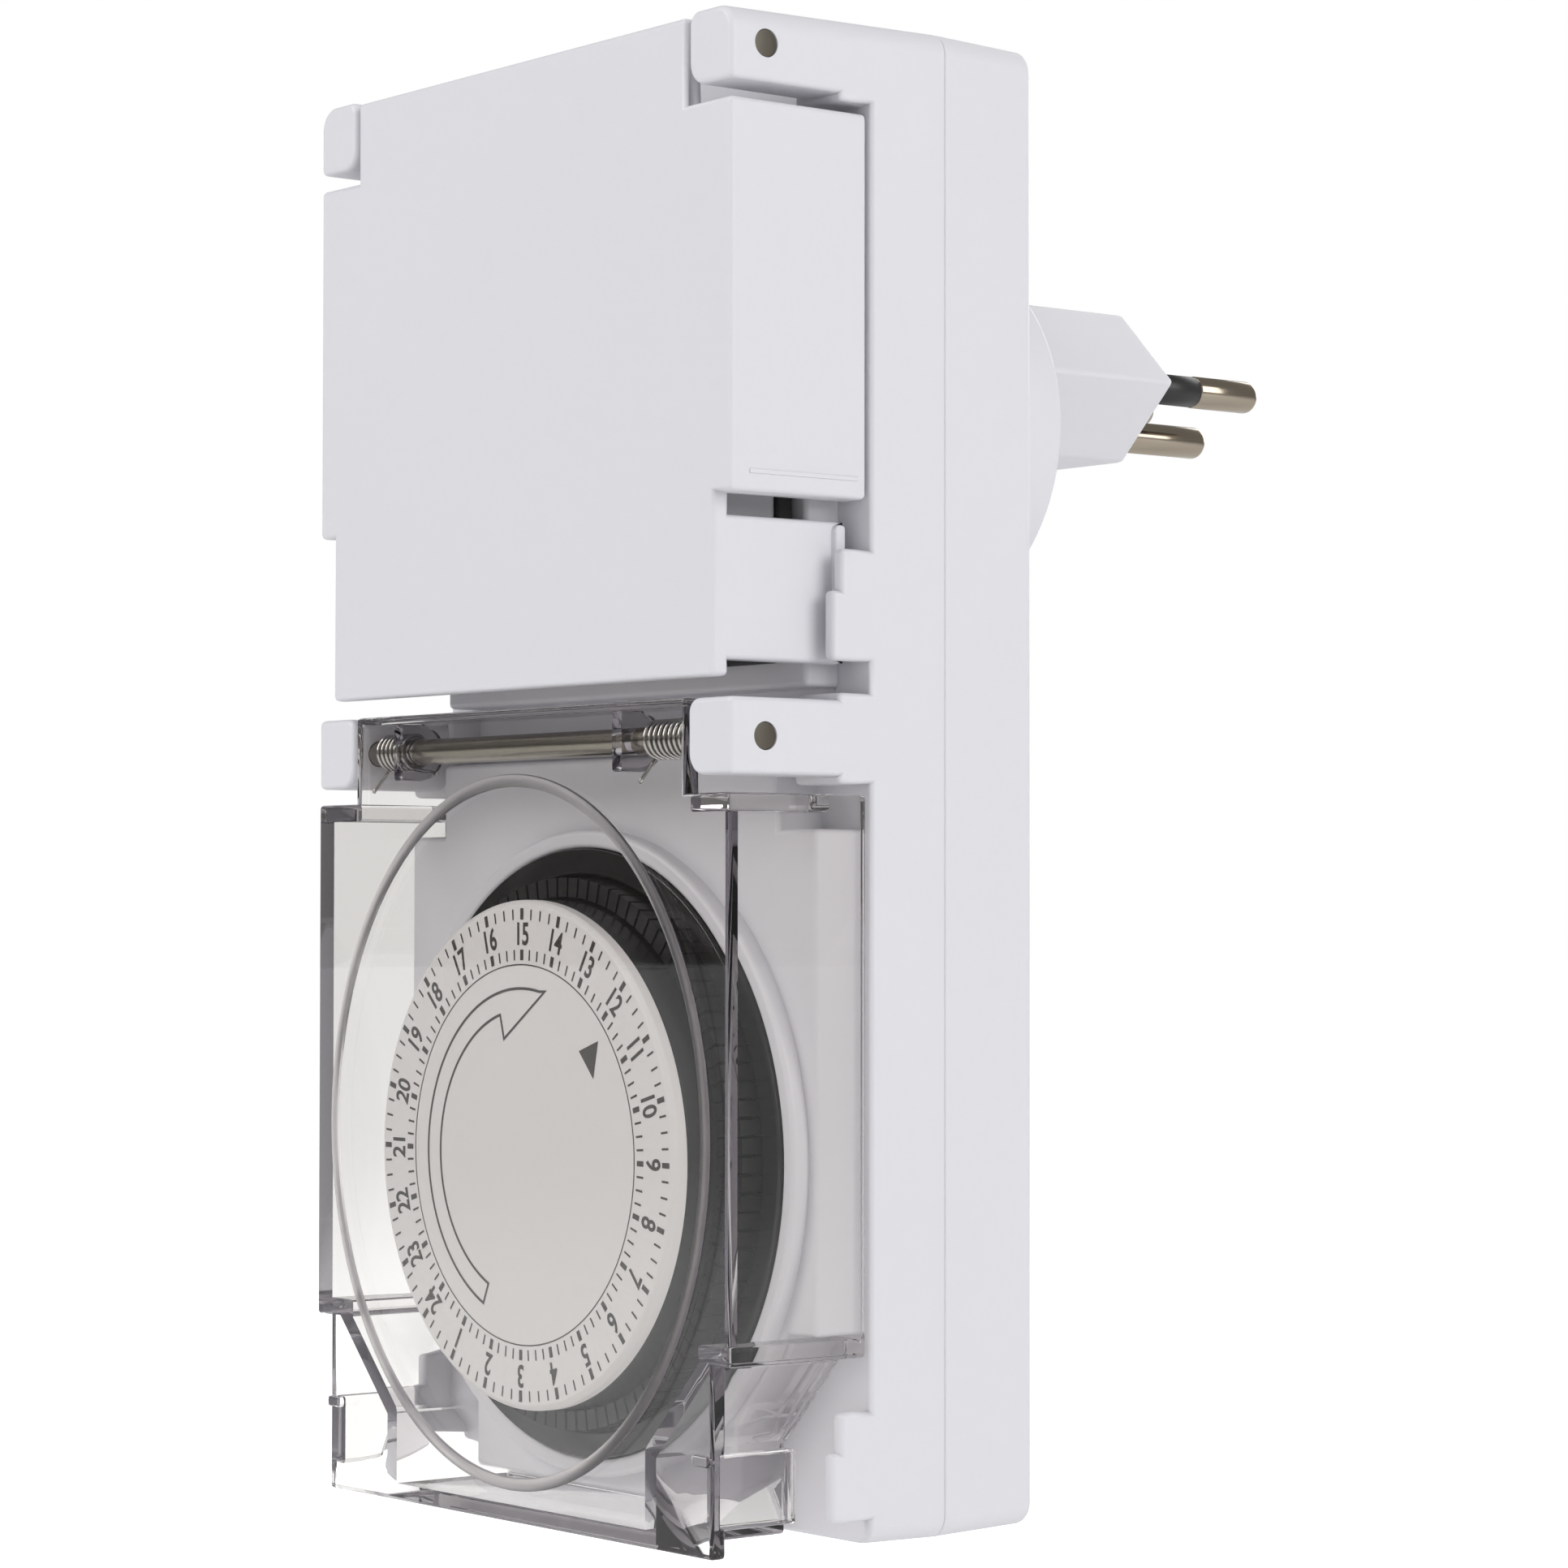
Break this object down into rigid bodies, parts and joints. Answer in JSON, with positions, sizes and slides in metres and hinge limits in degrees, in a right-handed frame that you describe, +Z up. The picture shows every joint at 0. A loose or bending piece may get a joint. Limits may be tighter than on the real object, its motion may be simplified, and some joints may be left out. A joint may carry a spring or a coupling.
{
  "type": "plug in timer switch",
  "caption": "Outdoor plug-in day timer: white case with a clear sprung lid over a dial ringed by push segments, a white sprung lid over a socket, and a pinned plug on its back.",
  "frame": {"origin": "midway between the line and neutral pins, on the plug's end face", "axes": "+X to the right seen from the front, +Y out of the plug's end face along the pins, +Z up"},
  "size_m": [0.082, 0.1077, 0.1662],
  "materials": {
    "white_case": "fine matte moulding grain",
    "white_lid": "fine matte moulding grain",
    "white_insert": "smooth",
    "clear_lid": "clear with a smoky grey tint",
    "plated_pins": "nickel plated",
    "black_sleeve": "satin",
    "brass_contacts": "bare",
    "steel": "zinc plated",
    "spring_steel": "bright drawn wire",
    "seal_rubber": "matte",
    "dial_white": "printed white plastic",
    "black_drum": "satin",
    "black_bezel": "gloss",
    "segment_grey": "satin",
    "gear_plastic": "natural acetal",
    "grey_base": "satin"
  },
  "bodies": {
    "housing": {"front_shell": "white_case", "rear_shell": "white_case", "plug_body": "white_case", "pin_line": "plated_pins", "pin_neutral": "plated_pins", "pin_earth": "plated_pins", "sleeve_line": "black_sleeve", "sleeve_neutral": "black_sleeve", "socket_insert": "white_insert", "contact_line": "brass_contacts", "contact_neutral": "brass_contacts", "contact_earth": "brass_contacts", "strip_line_in": "brass_contacts", "strip_line_out": "brass_contacts", "strip_neutral": "brass_contacts", "strip_earth": "brass_contacts", "socket_hinge_pin": "steel", "timer_hinge_pin": "steel", "socket_spring_left": "spring_steel", "socket_spring_right": "spring_steel", "timer_spring_left": "spring_steel", "timer_spring_right": "spring_steel", "timer_bezel": "black_bezel", "timer_base": "grey_base", "dial_arbor": "steel", "motor": "steel", "microswitch": "black_drum", "screw_top_left": "steel", "screw_top_right": "steel", "screw_bottom_left": "steel", "screw_bottom_right": "steel"},
    "socket_cover": {"socket_lid": "white_lid", "socket_lid_seal": "seal_rubber"},
    "timer_cover": {"timer_lid": "clear_lid"},
    "dial": {"dial_face": "dial_white", "tappet_carrier": "black_drum", "tappets": "segment_grey", "dial_gear": "gear_plastic"},
    "segment": {"tappet_single": "segment_grey"},
    "stage": {"stage_gear": "gear_plastic"},
    "rotor": {"motor_pinion": "brass_contacts"},
    "lever": {"switch_lever": "steel"}
  },
  "joints": [
    {"name": "socket_cover_hinge", "type": "hinge", "parent": "housing", "child": "socket_cover", "pos_m": [0, -0.0835, 0.0277], "axis": [-1, 0, 0], "range_deg": [0, 110], "stiffness_Nm_per_rad": 0.012, "springref_deg": -34.38, "deforming": ["socket_spring_left", "socket_spring_right"]},
    {"name": "timer_cover_hinge", "type": "hinge", "parent": "housing", "child": "timer_cover", "pos_m": [0, -0.0835, -0.0466], "axis": [-1, 0, 0], "range_deg": [0, 95], "stiffness_Nm_per_rad": 0.012, "springref_deg": -34.38, "deforming": ["timer_spring_left", "timer_spring_right"]},
    {"name": "dial_spin", "type": "hinge", "parent": "housing", "child": "dial", "pos_m": [0, -0.075, -0.0929], "axis": [0, 1, 0], "continuous": true},
    {"name": "segment_slide", "type": "slide", "parent": "dial", "child": "segment", "axis": [0, -1, 0], "range_m": [0, 0.002]},
    {"name": "stage_spin", "type": "hinge", "parent": "housing", "child": "stage", "pos_m": [-0.01317, -0.072, -0.11572], "axis": [0, 1, 0], "continuous": true},
    {"name": "rotor_spin", "type": "hinge", "parent": "housing", "child": "rotor", "pos_m": [-0.0075, -0.068, -0.10589], "axis": [0, 1, 0], "continuous": true},
    {"name": "lever_pivot", "type": "hinge", "parent": "housing", "child": "lever", "pos_m": [0, -0.06585, -0.0727], "axis": [-1, 0, 0], "range_deg": [0, 3], "stiffness_Nm_per_rad": 0.02}
  ],
  "couplings": [
    {"joint": "stage_spin", "follows": "dial_spin", "ratio": -6},
    {"joint": "rotor_spin", "follows": "dial_spin", "ratio": 24}
  ]
}
